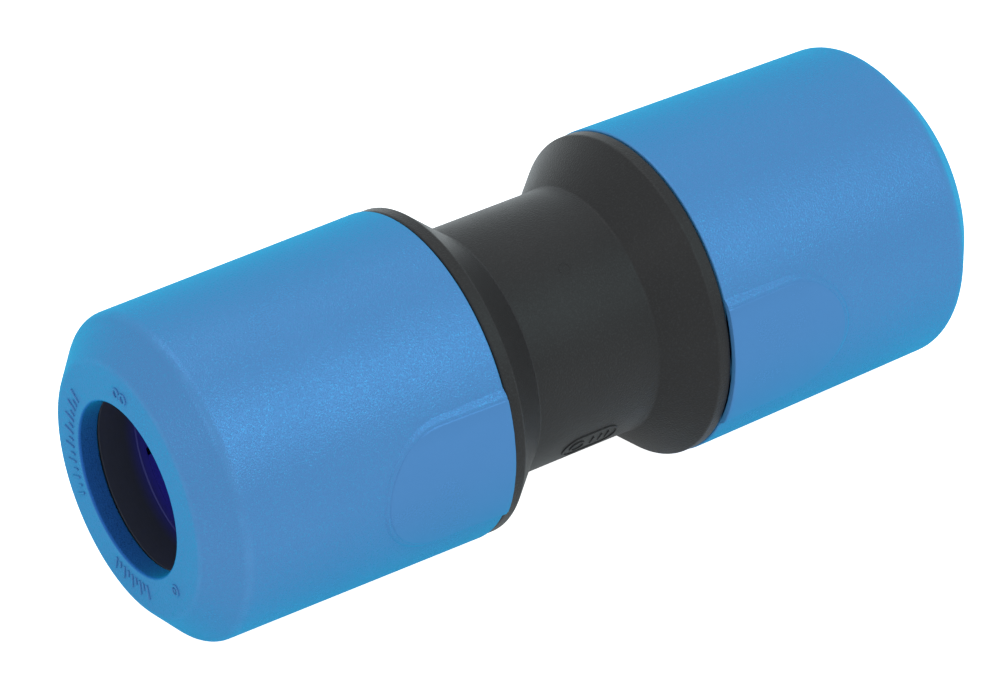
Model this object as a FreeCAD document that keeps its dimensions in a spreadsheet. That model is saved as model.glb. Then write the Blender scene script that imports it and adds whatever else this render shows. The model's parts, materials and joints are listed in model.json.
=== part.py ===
"""Straight push-to-connect coupler for 25 mm plastic water pipe.

A black body joins two pipe sockets. At each end a blue end cap is held to the body's spigot by a two-lug
bayonet, and inside it are a collet whose fingers carry stainless teeth, a spacer ring and an O-ring.

X runs along the pipe, Z is up, and the origin is the middle of the coupler. The right-hand end (+X) is
modelled first, and the left-hand end is the same set of pieces turned half a turn about Z. Millimetres.
"""
import FreeCAD, Part
import os
import Sketcher

os.makedirs("parts", exist_ok=True)
doc = FreeCAD.newDocument("pipe_coupler")

# ---- Driving sizes: millimetres, and degrees where the name ends in _angle. "start" and "end" are
# ---- distances from the middle of the coupler along the pipe, and "start" is the nearer of the two.
SIZES = {
    # outside
    "half_length": 66.1,
    "barrel_radius": 18.66,
    "barrel_end": 10.27,
    "flange_radius": 24.45,
    "flange_start": 16.77,
    "flange_end": 18.75,
    "rim_start": 18.9,
    "rim_radius": 24.59,
    "shoulder_start": 61.43,
    "shoulder_radius": 24.07,
    "face_radius": 18.73,
    # pipe socket in the body
    "stop_radius": 10.4,
    "stop_end": 2.0,
    "seat_radius": 12.75,
    "seal_start": 34.0,
    "seal_radius": 16.1,
    "chamber_start": 40.4,
    "chamber_radius": 17.4,
    "spigot_radius": 21.0,
    "spigot_end": 55.5,
    # inside of the end cap
    "cap_play": 0.15,
    "cap_seat": 55.8,
    "cone_radius": 17.2,
    "guide_start": 57.7,
    "guide_radius": 15.3,
    "mouth_start": 63.1,
    "mouth_radius": 12.8,
    # bayonet
    "lug_start": 24.2,
    "lug_end": 28.0,
    "lug_radius": 22.8,
    "lug_angle": 14.0,
    "lug_place_angle": 14.25,
    "lug_count": 2,
    "slot_play": 0.3,
    "slot_angle": 44.0,
    "entry_angle": 16.0,
    "entry_place_angle": 14.0,
    # thumb pads on the end cap, whose lips stand a little way out over the flange
    "pad_start": 18.25,
    "pad_lip_radius": 24.75,
    "pad_radius": 25.2,
    "pad_half_width": 10.9,
    "pad_arc_centre": 29.5,
    "pad_end": 41.5,
    "pad_end_radius": 24.6,
    "pad_root_radius": 23.8,
    "pad_bar_length": 60.0,
    # collet and its teeth
    "collet_start": 51.0,
    "collet_end": 62.9,
    "collet_bore_radius": 13.0,
    "collet_radius": 15.0,
    "finger_radius": 14.4,
    "finger_end": 60.4,
    "head_radius": 16.9,
    "head_end": 55.5,
    "finger_gap": 1.6,
    "finger_count": 8,
    "tooth_root_radius": 15.2,
    "tooth_tip_radius": 12.1,
    "tooth_root_start": 54.0,
    "tooth_lean": 1.3,
    "tooth_thickness": 0.5,
    "tooth_play": 0.03,
    "tooth_angle": 30.0,
    # seal and spacer
    "ring_section": 3.6,
    "ring_radius": 14.05,
    "ring_place": 36.0,
    "spacer_start": 38.0,
    "spacer_end": 40.2,
    "spacer_radius": 15.95,
    # moulded edges
    "barrel_fillet": 1.2,
    "flange_fillet": 0.5,
    "shoulder_fillet": 2.2,
    "face_fillet": 1.6,
    "mouth_fillet": 0.15,
    "rim_fillet": 0.2,
    "stop_fillet": 0.5,
}

HALF_TURN = 180.0
FULL_TURN = 360.0

# How a sketch numbers its own axes, and the places on a line or an arc that a constraint can hold.
ALONG_AXIS = -1
OUT_AXIS = -2
START = 1
END = 2
CENTRE = 3

# Two places nearer than this, in millimetres, are one place.
SAME_PLACE = 0.01

sheet = doc.addObject("Spreadsheet::Sheet", "Sizes")
for row, (alias, number) in enumerate(SIZES.items(), start=1):
    sheet.set(f"A{row}", alias)
    sheet.set(f"B{row}", str(number))
    sheet.setAlias(f"B{row}", alias)
doc.recompute()


# ---- Helpers -------------------------------------------------------------------------------------------
def size(expression):
    """The value of an expression over the sheet, where a bare word is the name of a cell."""
    return float(sheet.evalExpression(expression))


def bound(expression):
    """The same expression written so that an object outside the sheet can be bound to it."""
    words = expression.split(" ")
    return " ".join("Sizes." + word if word in SIZES else word for word in words)


def new_body(name):
    return doc.addObject("PartDesign::Body", name)


def sketch_in(body, name, role="XY_Plane", turned="0"):
    """A sketch on an origin plane of the body, turned about X by an angle from the sheet."""
    sketch = body.newObject("Sketcher::SketchObject", name)
    plane = next(feature for feature in body.Origin.OriginFeatures if feature.Role == role)
    sketch.AttachmentSupport = [(plane, "")]
    sketch.MapMode = "FlatFace"
    if turned != "0":
        turn_about_x = FreeCAD.Rotation(FreeCAD.Vector(1, 0, 0), size(turned))
        sketch.AttachmentOffset = FreeCAD.Placement(FreeCAD.Vector(), turn_about_x)
        sketch.setExpression("AttachmentOffset.Rotation.Angle", bound(turned))
    return sketch


def pin_distance(sketch, kind, line, point, expression):
    """Holds a point of a line or an arc at a distance from the origin, bound to the sheet."""
    pin = Sketcher.Constraint(kind, ALONG_AXIS, START, line, point, size(expression))
    number = sketch.addConstraint(pin)
    sketch.setExpression(f"Constraints[{number}]", bound(expression))


def pin_to_sheet(sketch, line, point, along, out):
    """Holds one end of a line at (along, out), both of them expressions over the sheet."""
    for kind, axis_line, expression in (("DistanceX", OUT_AXIS, along), ("DistanceY", ALONG_AXIS, out)):
        if expression == "0":
            sketch.addConstraint(Sketcher.Constraint("PointOnObject", line, point, axis_line))
        else:
            pin_distance(sketch, kind, line, point, expression)


def draw_outline(sketch, corners):
    """A closed outline of straight sides whose corners are (along, out) pairs of expressions."""
    places = [FreeCAD.Vector(size(along), size(out), 0) for along, out in corners]
    following = places[1:] + places[:1]
    for start, end in zip(places, following):
        sketch.addGeometry(Part.LineSegment(start, end), False)
    for side, (along, out) in enumerate(corners):
        after = (side + 1) % len(corners)
        sketch.addConstraint(Sketcher.Constraint("Coincident", side, END, after, START))
        pin_to_sheet(sketch, side, START, along, out)


def rectangle(start, end, inner, outer):
    return [(start, inner), (end, inner), (end, outer), (start, outer)]


def revolve(body, sketch, name, kind="PartDesign::Revolution", angle=None):
    """Turns a sketch about X: the whole way round, or by an angle from the sheet, half to each side."""
    feature = body.newObject(kind, name)
    feature.Profile = sketch
    feature.ReferenceAxis = (sketch, ["H_Axis"])
    feature.Angle = FULL_TURN
    if angle:
        feature.Midplane = True
        feature.setExpression("Angle", bound(angle))
    body.Tip = feature
    return feature


def repeat_round(body, feature, sketch, name, count):
    """Copies of a feature spaced evenly about X, as many as a cell of the sheet says."""
    pattern = body.newObject("PartDesign::PolarPattern", name)
    pattern.Originals = [feature]
    pattern.Axis = (sketch, ["H_Axis"])
    pattern.Angle = FULL_TURN
    pattern.setExpression("Occurrences", bound(count))
    body.Tip = pattern
    return pattern


def round_edges(body, name, radius, circles):
    """Rounds the circular edges whose (place along X, radius) are given as pairs of expressions."""
    doc.recompute()
    base = body.Tip
    wanted = [(size(along), size(around)) for along, around in circles]
    names = []
    for number, edge in enumerate(base.Shape.Edges, start=1):
        curve = edge.Curve
        if not isinstance(curve, Part.Circle):
            continue
        for along, around in wanted:
            if abs(curve.Center.x - along) < SAME_PLACE and abs(curve.Radius - around) < SAME_PLACE:
                names.append(f"Edge{number}")
    assert len(names) == len(circles), f"{name}: found {len(names)} of {len(circles)} edges"
    fillet = body.newObject("PartDesign::Fillet", name)
    fillet.Base = (base, names)
    fillet.setExpression("Radius", bound(radius))
    body.Tip = fillet
    return fillet


finished = []


def finish(sub_part, label, turned_over=False, turned=0.0):
    """Names a sub-part and places it: turned about X, then for the left end half a turn about Z."""
    sub_part.Label = label
    about_x = FreeCAD.Rotation(FreeCAD.Vector(1, 0, 0), turned)
    about_z = FreeCAD.Rotation(FreeCAD.Vector(0, 0, 1), HALF_TURN if turned_over else 0.0)
    sub_part.Placement = FreeCAD.Placement(FreeCAD.Vector(), about_z.multiply(about_x))
    finished.append(sub_part)


# ---- Body: barrel, flanges and two spigots in one moulding ----------------------------------------------
def make_coupler_body():
    body = new_body("BodyMoulding")
    wall = sketch_in(body, "BodyWall")
    draw_outline(wall, [
        ("0", "stop_radius"),
        ("stop_end", "stop_radius"),
        ("stop_end", "seat_radius"),
        ("seal_start", "seat_radius"),
        ("seal_start", "seal_radius"),
        ("chamber_start", "seal_radius"),
        ("chamber_start", "chamber_radius"),
        ("spigot_end", "chamber_radius"),
        ("spigot_end", "spigot_radius"),
        ("flange_end", "spigot_radius"),
        ("flange_end", "flange_radius"),
        ("flange_start", "flange_radius"),
        ("barrel_end", "barrel_radius"),
        ("0", "barrel_radius"),
    ])
    revolve(body, wall, "BodyTurned")
    round_edges(body, "BarrelRounding", "barrel_fillet", [("barrel_end", "barrel_radius")])
    round_edges(body, "FlangeRounding", "flange_fillet", [("flange_start", "flange_radius")])
    round_edges(body, "StopRounding", "stop_fillet", [("stop_end", "stop_radius")])
    half = body.Tip
    mirror = body.newObject("PartDesign::Mirrored", "OtherHalf")
    mirror.TransformMode = "Whole shape"
    across = next(feature for feature in body.Origin.OriginFeatures if feature.Role == "YZ_Plane")
    mirror.MirrorPlane = (across, [""])
    mirror.BaseFeature = half
    body.Tip = mirror
    # Two lugs stand on each spigot. Half a turn about Z carries one end's lugs onto the other's.
    root = "spigot_radius - cap_play"
    for end, turned in (("Right", "lug_place_angle"), ("Left", "0 - lug_place_angle")):
        lug = sketch_in(body, f"{end}Lug", turned=turned)
        sign = "" if end == "Right" else "0 - "
        draw_outline(lug, rectangle(sign + "lug_start", sign + "lug_end", root, "lug_radius"))
        lug_turned = revolve(body, lug, f"{end}LugTurned", angle="lug_angle")
        repeat_round(body, lug_turned, lug, f"{end}Lugs", "lug_count")
    finish(body, "coupler_body")


# ---- End cap: turned shell, bayonet slots and two thumb pads --------------------------------------------
def make_cap_shell(prefix):
    body = new_body(prefix + "CapShell")
    wall = sketch_in(body, prefix + "CapWall")
    bore = "spigot_radius + cap_play"
    draw_outline(wall, [
        ("rim_start", bore),
        ("cap_seat", bore),
        ("cap_seat", "cone_radius"),
        ("guide_start", "guide_radius"),
        ("mouth_start", "guide_radius"),
        ("mouth_start", "mouth_radius"),
        ("half_length", "mouth_radius"),
        ("half_length", "face_radius"),
        ("shoulder_start", "shoulder_radius"),
        ("rim_start", "rim_radius"),
    ])
    revolve(body, wall, prefix + "CapTurned")
    round_edges(body, prefix + "ShoulderRounding", "shoulder_fillet", [("shoulder_start", "shoulder_radius")])
    round_edges(body, prefix + "FaceRounding", "face_fillet", [("half_length", "face_radius")])
    round_edges(body, prefix + "MouthRounding", "mouth_fillet", [("half_length", "mouth_radius")])
    round_edges(body, prefix + "RimRounding", "rim_fillet", [("rim_start", "rim_radius")])
    # The lugs slide in along two entries and turn into two slots, which stay inside the wall.
    slot_start = "lug_start - slot_play"
    slot_end = "lug_end + slot_play"
    slot_floor = "lug_radius + slot_play"
    below = "spigot_radius - slot_play"
    doc.recompute()
    whole = body.Shape.Volume
    slot = sketch_in(body, prefix + "Slot")
    draw_outline(slot, rectangle(slot_start, slot_end, below, slot_floor))
    slot_cut = revolve(body, slot, prefix + "SlotCut", "PartDesign::Groove", "slot_angle")
    repeat_round(body, slot_cut, slot, prefix + "Slots", "lug_count")
    entry = sketch_in(body, prefix + "Entry", turned="0 - entry_place_angle")
    draw_outline(entry, rectangle("rim_start - slot_play", slot_end, below, slot_floor))
    entry_cut = revolve(body, entry, prefix + "EntryCut", "PartDesign::Groove", "entry_angle")
    repeat_round(body, entry_cut, entry, prefix + "Entries", "lug_count")
    doc.recompute()
    assert body.Shape.Volume < whole, "the bayonet slots cut nothing"
    return body


def make_pads(prefix):
    """Two D-shaped raised pads: a tapered ring, kept only where a D-shaped bar passes through it."""
    ring = new_body(prefix + "PadRing")
    section = sketch_in(ring, prefix + "PadSection")
    draw_outline(section, [
        ("pad_start", "pad_lip_radius"),
        ("rim_start + slot_play", "pad_lip_radius"),
        ("rim_start + slot_play", "pad_root_radius"),
        ("pad_end", "pad_root_radius"),
        ("pad_end", "pad_end_radius"),
        ("pad_start", "pad_radius"),
    ])
    revolve(ring, section, prefix + "PadTurned")
    bar = new_body(prefix + "PadBar")
    outline = sketch_in(bar, prefix + "PadOutline", role="XZ_Plane")
    start = size("pad_start - slot_play")
    centre = size("pad_arc_centre")
    half_width = size("pad_half_width")
    low_start = FreeCAD.Vector(start, -half_width, 0)
    low_end = FreeCAD.Vector(centre, -half_width, 0)
    high_start = FreeCAD.Vector(start, half_width, 0)
    high_end = FreeCAD.Vector(centre, half_width, 0)
    outline.addGeometry(Part.LineSegment(low_start, low_end), False)
    nose = FreeCAD.Vector(centre + half_width, 0, 0)
    outline.addGeometry(Part.Arc(low_end, nose, high_end), False)
    outline.addGeometry(Part.LineSegment(high_end, high_start), False)
    outline.addGeometry(Part.LineSegment(high_start, low_start), False)
    low_side, round_end, high_side, square_end = range(4)
    outline.addConstraint(Sketcher.Constraint("Tangent", low_side, END, round_end, START))
    outline.addConstraint(Sketcher.Constraint("Tangent", round_end, END, high_side, START))
    outline.addConstraint(Sketcher.Constraint("Coincident", high_side, END, square_end, START))
    outline.addConstraint(Sketcher.Constraint("Coincident", square_end, END, low_side, START))
    outline.addConstraint(Sketcher.Constraint("Horizontal", low_side))
    outline.addConstraint(Sketcher.Constraint("Vertical", square_end))
    outline.addConstraint(Sketcher.Constraint("PointOnObject", round_end, CENTRE, ALONG_AXIS))
    pin_distance(outline, "DistanceX", round_end, CENTRE, "pad_arc_centre")
    pin_distance(outline, "DistanceX", high_side, END, "pad_start - slot_play")
    pin_distance(outline, "DistanceY", high_side, END, "pad_half_width")
    pad = bar.newObject("PartDesign::Pad", prefix + "PadBarLong")
    pad.Profile = outline
    pad.SideType = "Symmetric"
    pad.setExpression("Length", bound("pad_bar_length"))
    bar.Tip = pad
    pads = doc.addObject("Part::Common", prefix + "Pads")
    pads.Base = ring
    pads.Tool = bar
    return pads


def make_end_cap(side, turned_over):
    cap = doc.addObject("Part::Fuse", side + "Cap")
    cap.Base = make_cap_shell(side)
    cap.Tool = make_pads(side)
    finish(cap, f"{side.lower()}_end_cap", turned_over)


# ---- Collet: a ring with slotted fingers whose heads wedge in the cap's cone ----------------------------
def tooth_outline(play):
    """A strip that leans inwards from its root in the finger's head. Play makes the groove it sits in."""
    root = "tooth_root_start"
    tip = "tooth_root_start - tooth_lean"
    inner = "tooth_tip_radius"
    outer = "tooth_root_radius"
    if play:
        outer = "tooth_root_radius + tooth_play"
        back = " + tooth_thickness + tooth_play"
        return [(tip + " - tooth_play", inner), (tip + back, inner), (root + back, outer),
                (root + " - tooth_play", outer)]
    back = " + tooth_thickness"
    return [(tip, inner), (tip + back, inner), (root + back, outer), (root, outer)]


def make_collet(side, turned_over):
    body = new_body(side + "Collet")
    wall = sketch_in(body, side + "ColletWall")
    taper = "head_radius - finger_radius"
    draw_outline(wall, [
        ("collet_start", "collet_bore_radius"),
        ("collet_end", "collet_bore_radius"),
        ("collet_end", "collet_radius"),
        ("finger_end", "collet_radius"),
        ("finger_end", "finger_radius"),
        ("head_end + " + taper, "finger_radius"),
        ("head_end", "head_radius"),
        ("collet_start", "head_radius"),
    ])
    revolve(body, wall, side + "ColletTurned")
    groove = sketch_in(body, side + "ToothGroove")
    draw_outline(groove, tooth_outline(play=True))
    revolve(body, groove, side + "ToothGrooveCut", "PartDesign::Groove")
    doc.recompute()
    whole = body.Shape.Volume
    gap = sketch_in(body, side + "FingerGap")
    draw_outline(gap, rectangle("collet_start - finger_gap", "finger_end", "stop_radius", "spigot_radius"))
    cut = body.newObject("PartDesign::Pocket", side + "FingerGapCut")
    cut.Profile = gap
    cut.SideType = "Symmetric"
    cut.setExpression("Length", bound("finger_gap"))
    body.Tip = cut
    repeat_round(body, cut, gap, side + "FingerGaps", "finger_count")
    doc.recompute()
    assert body.Shape.Volume < whole, "the finger gaps cut nothing"
    finish(body, f"{side.lower()}_collet", turned_over, FULL_TURN / size("finger_count") / 2)


def make_tooth(side, turned_over, number):
    """One strip of stainless steel, halfway between two finger gaps."""
    body = new_body(f"{side}Tooth{number}")
    section = sketch_in(body, f"{side}ToothSection{number}")
    draw_outline(section, tooth_outline(play=False))
    revolve(body, section, f"{side}ToothTurned{number}", angle="tooth_angle")
    pitch = FULL_TURN / size("finger_count")
    finish(body, f"{side.lower()}_collet_tooth_{number}", turned_over, pitch * number)


# ---- Seal and spacer ------------------------------------------------------------------------------------
def make_o_ring(side, turned_over):
    body = new_body(side + "Seal")
    section = sketch_in(body, side + "SealSection")
    place = FreeCAD.Vector(size("ring_place"), size("ring_radius"), 0)
    section.addGeometry(Part.Circle(place, FreeCAD.Vector(0, 0, 1), size("ring_section") / 2), False)
    pin_distance(section, "DistanceX", 0, CENTRE, "ring_place")
    pin_distance(section, "DistanceY", 0, CENTRE, "ring_radius")
    number = section.addConstraint(Sketcher.Constraint("Diameter", 0, size("ring_section")))
    section.setExpression(f"Constraints[{number}]", bound("ring_section"))
    revolve(body, section, side + "SealTurned")
    finish(body, f"{side.lower()}_o_ring", turned_over)


def make_spacer_ring(side, turned_over):
    body = new_body(side + "Spacer")
    section = sketch_in(body, side + "SpacerSection")
    draw_outline(section, rectangle("spacer_start", "spacer_end", "collet_bore_radius", "spacer_radius"))
    revolve(body, section, side + "SpacerTurned")
    finish(body, f"{side.lower()}_spacer_ring", turned_over)


# ---- Everything, then one file for each sub-part --------------------------------------------------------
make_coupler_body()
for end_name, is_left in (("Right", False), ("Left", True)):
    make_end_cap(end_name, is_left)
    make_collet(end_name, is_left)
    for tooth_number in range(1, int(size("finger_count")) + 1):
        make_tooth(end_name, is_left, tooth_number)
    make_o_ring(end_name, is_left)
    make_spacer_ring(end_name, is_left)
doc.recompute()

for item in doc.Objects:
    assert not {"Invalid", "Error"} & set(item.State), f"{item.Name} did not recompute: {item.State}"
for sub_part in finished:
    shape = sub_part.Shape
    assert not shape.isNull() and shape.isValid(), f"{sub_part.Label} has no valid shape"
    assert len(shape.Solids) == 1, f"{sub_part.Label} has {len(shape.Solids)} solids"
for sub_part in finished:
    sub_part.Shape.exportStep(f"parts/{sub_part.Label}.step")
    box = sub_part.Shape.BoundBox
    print(f"{sub_part.Label}: {sub_part.Shape.Volume:.1f} mm3, X {box.XMin:.2f} to {box.XMax:.2f}, "
          f"Y {box.YMin:.2f} to {box.YMax:.2f}, Z {box.ZMin:.2f} to {box.ZMax:.2f}")
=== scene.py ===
# %% [markdown]
# # A straight push-fit coupler for water pipe
#
# The real object joins two lengths of 25 mm plastic pipe. A black waisted body carries a blue end cap at
# each end. The pipe goes in through the mouth of a cap, past a ring of toothed fingers (the collet), past a
# spacer ring and an O-ring, and stops against a small shoulder in the middle.
#
# The engineering model gives every piece its place and its joints. This lesson makes the pieces again as
# smooth shapes, and gives each one the finish that its material and its mould leave on it. We start by
# loading that model as the frame, and by noting how large it is.

# %% Load the frame
import cmath
import json
import math

import bmesh
import bpy
import numpy as np
from mathutils import Matrix, Vector

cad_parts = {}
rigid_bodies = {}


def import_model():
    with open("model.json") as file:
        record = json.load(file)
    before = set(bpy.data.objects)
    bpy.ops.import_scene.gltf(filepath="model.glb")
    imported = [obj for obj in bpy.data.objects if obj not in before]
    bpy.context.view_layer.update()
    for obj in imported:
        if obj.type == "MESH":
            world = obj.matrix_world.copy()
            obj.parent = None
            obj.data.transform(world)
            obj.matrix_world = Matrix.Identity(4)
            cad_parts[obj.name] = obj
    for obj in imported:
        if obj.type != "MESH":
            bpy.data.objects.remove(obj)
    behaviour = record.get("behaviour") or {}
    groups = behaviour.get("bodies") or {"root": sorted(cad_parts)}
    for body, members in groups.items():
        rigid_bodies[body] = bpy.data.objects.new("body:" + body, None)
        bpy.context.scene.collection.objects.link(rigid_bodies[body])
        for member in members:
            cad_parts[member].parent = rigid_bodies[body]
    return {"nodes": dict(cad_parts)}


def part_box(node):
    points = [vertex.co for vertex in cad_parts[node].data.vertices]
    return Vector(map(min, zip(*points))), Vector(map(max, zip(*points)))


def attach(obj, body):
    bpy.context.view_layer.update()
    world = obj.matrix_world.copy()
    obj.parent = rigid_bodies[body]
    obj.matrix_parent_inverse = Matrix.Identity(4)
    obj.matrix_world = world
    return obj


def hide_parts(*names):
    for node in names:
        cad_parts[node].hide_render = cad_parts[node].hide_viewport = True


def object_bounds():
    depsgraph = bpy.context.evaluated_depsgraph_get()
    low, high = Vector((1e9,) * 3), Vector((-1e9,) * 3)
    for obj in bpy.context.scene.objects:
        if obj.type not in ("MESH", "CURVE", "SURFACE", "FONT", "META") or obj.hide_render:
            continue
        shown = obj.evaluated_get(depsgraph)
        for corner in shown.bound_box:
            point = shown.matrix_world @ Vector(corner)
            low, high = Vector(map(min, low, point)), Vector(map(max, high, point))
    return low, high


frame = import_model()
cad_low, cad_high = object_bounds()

MM = 0.001
print("frame box, mm:", [round(v / MM, 2) for v in cad_low], [round(v / MM, 2) for v in cad_high])

# %% [markdown]
# ## Sizes
#
# The sizes that the frame already knows are read from its boxes, so a change in the engineering model comes
# through. What a box can't say, such as the width of a pad's border, is named here in millimetres.
# Everything is modelled for the right-hand end. The left-hand end is the same set of pieces, turned half a
# turn about Z.

# %% Sizes in millimetres
def reach(node):
    """The start, end and outer radius of a round node of the frame, in millimetres."""
    low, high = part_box(node)
    return low.x / MM, high.x / MM, high.z / MM


_, half_length, rim_radius = reach("right_end_cap")
_, spigot_end, flange_radius = reach("coupler_body")
collet_start, collet_end, head_radius = reach("right_collet")
seal_start, seal_end, seal_outer = reach("right_o_ring")
spacer_start, spacer_end, spacer_outer = reach("right_spacer_ring")

# body
barrel_radius = 18.66
barrel_end = 10.27
flange_start = 16.77
flange_end = 18.75
spigot_radius = 21.0
chamber_start = 40.4
chamber_radius = 17.4
groove_start = 34.0
groove_radius = 16.1
seat_radius = 12.75
stop_radius = 10.4
stop_end = 2.0

# end cap
rim_start = 18.9
bore_radius = 21.15
bore_end = 55.8
cone_radius = 17.2
guide_start = 57.7
guide_radius = 15.3
mouth_start = 63.1
mouth_radius = 12.8
face_radius = 18.73
shoulder_start = 61.43
shoulder_radius = 24.07

# bayonet
lug_start = 24.2
lug_end = 28.0
lug_radius = 22.8
lug_angle = math.radians(14.0)
lug_place = math.radians(14.25)
slot_play = 0.3
slot_angle = math.radians(44.0)
entry_angle = math.radians(16.0)
entry_place = math.radians(14.0)

# collet
collet_bore = 13.0
collet_radius = 15.0
step_place = 57.2
step_bore = 12.9
ring_start = 55.9
neck_end = 60.4
finger_radius = 14.4
head_end = 55.5
finger_gap = 1.2
finger_count = 8

print(f"half length {half_length:.2f}, rim {rim_radius:.2f}, flange {flange_radius:.2f}")

# %% [markdown]
# ## Two ways to add nodes
#
# A node tree built in code soon turns into pages of sockets and links. Two helpers keep it readable. `add`
# makes one node, sets its options, and then fills or joins its inputs in the order in which Blender shows
# them. `calc` does the same for one step of arithmetic and hands back the result.

# %% Node helpers
NODE_WIDTH = 190
NODE_ROW = 12


def add(tree, kind, *inputs, **options):
    """Adds a node. Each input is a socket to join, a value to set, or None to leave alone."""
    made = tree.nodes.new(kind)
    for option, value in options.items():
        setattr(made, option, value)
    sockets = [socket for socket in made.inputs if socket.enabled]
    for socket, value in zip(sockets, inputs):
        if isinstance(value, bpy.types.NodeSocket):
            tree.links.new(value, socket)
        elif value is not None:
            socket.default_value = value
    place = len(tree.nodes)
    made.location = (NODE_WIDTH * (place % NODE_ROW), -NODE_WIDTH * (place // NODE_ROW))
    return made


def calc(tree, operation, *inputs, **options):
    """One step of arithmetic, as a socket."""
    return add(tree, "ShaderNodeMath", *inputs, operation=operation, **options).outputs[0]


def new_tree(name, kind, inputs, outputs):
    """An empty node group with named inputs (name, type, start value) and named outputs (name, type)."""
    tree = bpy.data.node_groups.new(name, kind)
    for label, socket_type, start in inputs:
        socket = tree.interface.new_socket(label, in_out="INPUT", socket_type=socket_type)
        if start is not None:
            socket.default_value = start
    for label, socket_type in outputs:
        tree.interface.new_socket(label, in_out="OUTPUT", socket_type=socket_type)
    entry = add(tree, "NodeGroupInput")
    leave = add(tree, "NodeGroupOutput")
    return tree, entry.outputs, leave


def run_tree(piece, tree, **values):
    """Gives the piece a Geometry Nodes modifier, with its inputs set by their sockets' identifiers."""
    modifier = piece.modifiers.new(tree.name, "NODES")
    modifier.node_group = tree
    for item in tree.interface.items_tree:
        key = item.name.replace(" ", "_").lower()
        if item.item_type == "SOCKET" and item.in_out == "INPUT" and key in values:
            modifier[item.identifier] = values[key]
    return modifier


# %% [markdown]
# ## Plain meshes
#
# A modifier is a recipe, and the finished part needs the meal. `settle` asks Blender for the evaluated
# shape, keeps it as the piece's own mesh and throws the modifier away. A closed mesh whose faces point
# inwards has a negative volume, so the same helper measures the volume and turns the faces round when it has
# to.

# %% Helpers for meshes
def enclosed(mesh):
    """The volume inside a closed mesh: negative where its faces point inwards."""
    mesh.calc_loop_triangles()
    places = np.empty(len(mesh.vertices) * 3)
    mesh.vertices.foreach_get("co", places)
    corners = np.empty(len(mesh.loop_triangles) * 3, int)
    mesh.loop_triangles.foreach_get("vertices", corners)
    first, second, third = places.reshape(-1, 3)[corners.reshape(-1, 3)].transpose(1, 0, 2)
    return float(np.einsum("ij,ij->", np.cross(first, second), third)) / 6


def new_piece(name, mesh):
    piece = bpy.data.objects.new(name, mesh)
    bpy.context.scene.collection.objects.link(piece)
    return piece


def settle(piece):
    """Keeps the evaluated shape as the piece's own mesh, with its faces outwards and no modifier left."""
    bpy.context.view_layer.update()
    evaluated = piece.evaluated_get(bpy.context.evaluated_depsgraph_get())
    mesh = bpy.data.meshes.new_from_object(evaluated)
    piece.modifiers.clear()
    piece.data = mesh
    finishes = [material for material in mesh.materials if material]
    mesh.materials.clear()
    if finishes:
        mesh.materials.append(finishes[0])
    mesh.polygons.foreach_set("material_index", [0] * len(mesh.polygons))
    if enclosed(mesh) < 0:
        mesh.flip_normals()
    print(f"{piece.name}: {len(mesh.polygons)} faces, {enclosed(mesh) / MM ** 3:.0f} mm3")
    return piece


def turned_over(piece, name):
    """A copy of a right-hand piece for the left-hand end: half a turn about Z."""
    mesh = piece.data.copy()
    mesh.transform(Matrix.Rotation(math.pi, 4, "Z"))
    return new_piece(name, mesh)


# %% [markdown]
# ## Outlines with moulded corners
#
# No moulded part has a knife edge: the tool can't cut one and the plastic wouldn't fill it. So every outline
# is a list of corners, and each corner says its own radius. The arc between the two tangent points is found
# with complex numbers, where a turn is a multiplication.
#
# One more row stands just beside each arc. Smooth shading blends the normals of neighbouring faces, and that
# row keeps the blend inside the rounding, so that the long flat run next to it stays flat.
#
# Each row also carries a number named `edge`: 1 on the ridge of an outward corner, -1 in the bottom of an
# inward one. The materials use it later for rubbed edges.

# %% Outlines
ARC_STEP = math.radians(11.0)
BESIDE = 0.04


def outline(corners):
    """Rows (along, out, edge) through corners (along, out, radius), which run anticlockwise."""
    places = [complex(along, out) for along, out, _ in corners]
    rows = []
    for index, (_, _, radius) in enumerate(corners):
        corner = places[index]
        back = places[index - 1] - corner
        ahead = places[(index + 1) % len(places)] - corner
        back /= abs(back)
        ahead /= abs(ahead)
        opening = abs(cmath.phase(ahead / back))
        tangent = radius / math.tan(opening / 2)
        middle = back + ahead
        centre = corner + middle / abs(middle) * radius / math.sin(opening / 2)
        spoke = corner + back * tangent - centre
        swing = cmath.phase((corner + ahead * tangent - centre) / spoke)
        steps = max(3, math.ceil(abs(swing) / ARC_STEP))
        outward = 1 if swing > 0 else -1
        before = corner + back * (tangent + BESIDE)
        after = corner + ahead * (tangent + BESIDE)
        rows.append((before.real, before.imag, 0.0))
        for step in range(steps + 1):
            point = centre + spoke * cmath.exp(1j * swing * step / steps)
            rows.append((point.real, point.imag, outward * math.sin(math.pi * step / steps)))
        rows.append((after.real, after.imag, 0.0))
    return rows + rows[:1]


def outline_piece(name, rows):
    """The rows as a string of points: x along the pipe, z away from its axis."""
    mesh = bpy.data.meshes.new(name)
    mesh.from_pydata([(along * MM, 0, out * MM) for along, out, _ in rows], [], [])
    edge = mesh.attributes.new("edge", "FLOAT", "POINT")
    edge.data.foreach_set("value", [share for _, _, share in rows])
    return new_piece(name, mesh)


# %% [markdown]
# ## The turned shell
#
# Nearly everything here is a solid of revolution, so its shape follows one rule: a point's row says how far
# along and how far out it is, and its column says how far round. Blender has a Screw modifier for that, but
# this part needs more than the plain turn: the cap's bayonet slots are cut into its bore over only part of
# the turn.
#
# The Geometry Nodes tree starts from a flat grid. It reads the outline's point for each row, bends the grid
# round the axis, pushes the bore out to the floor of the slots where a slot or its entry is, and merges the
# seam. Pads and other fitted pieces are joined on at the end, so the result is one mesh.

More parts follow.
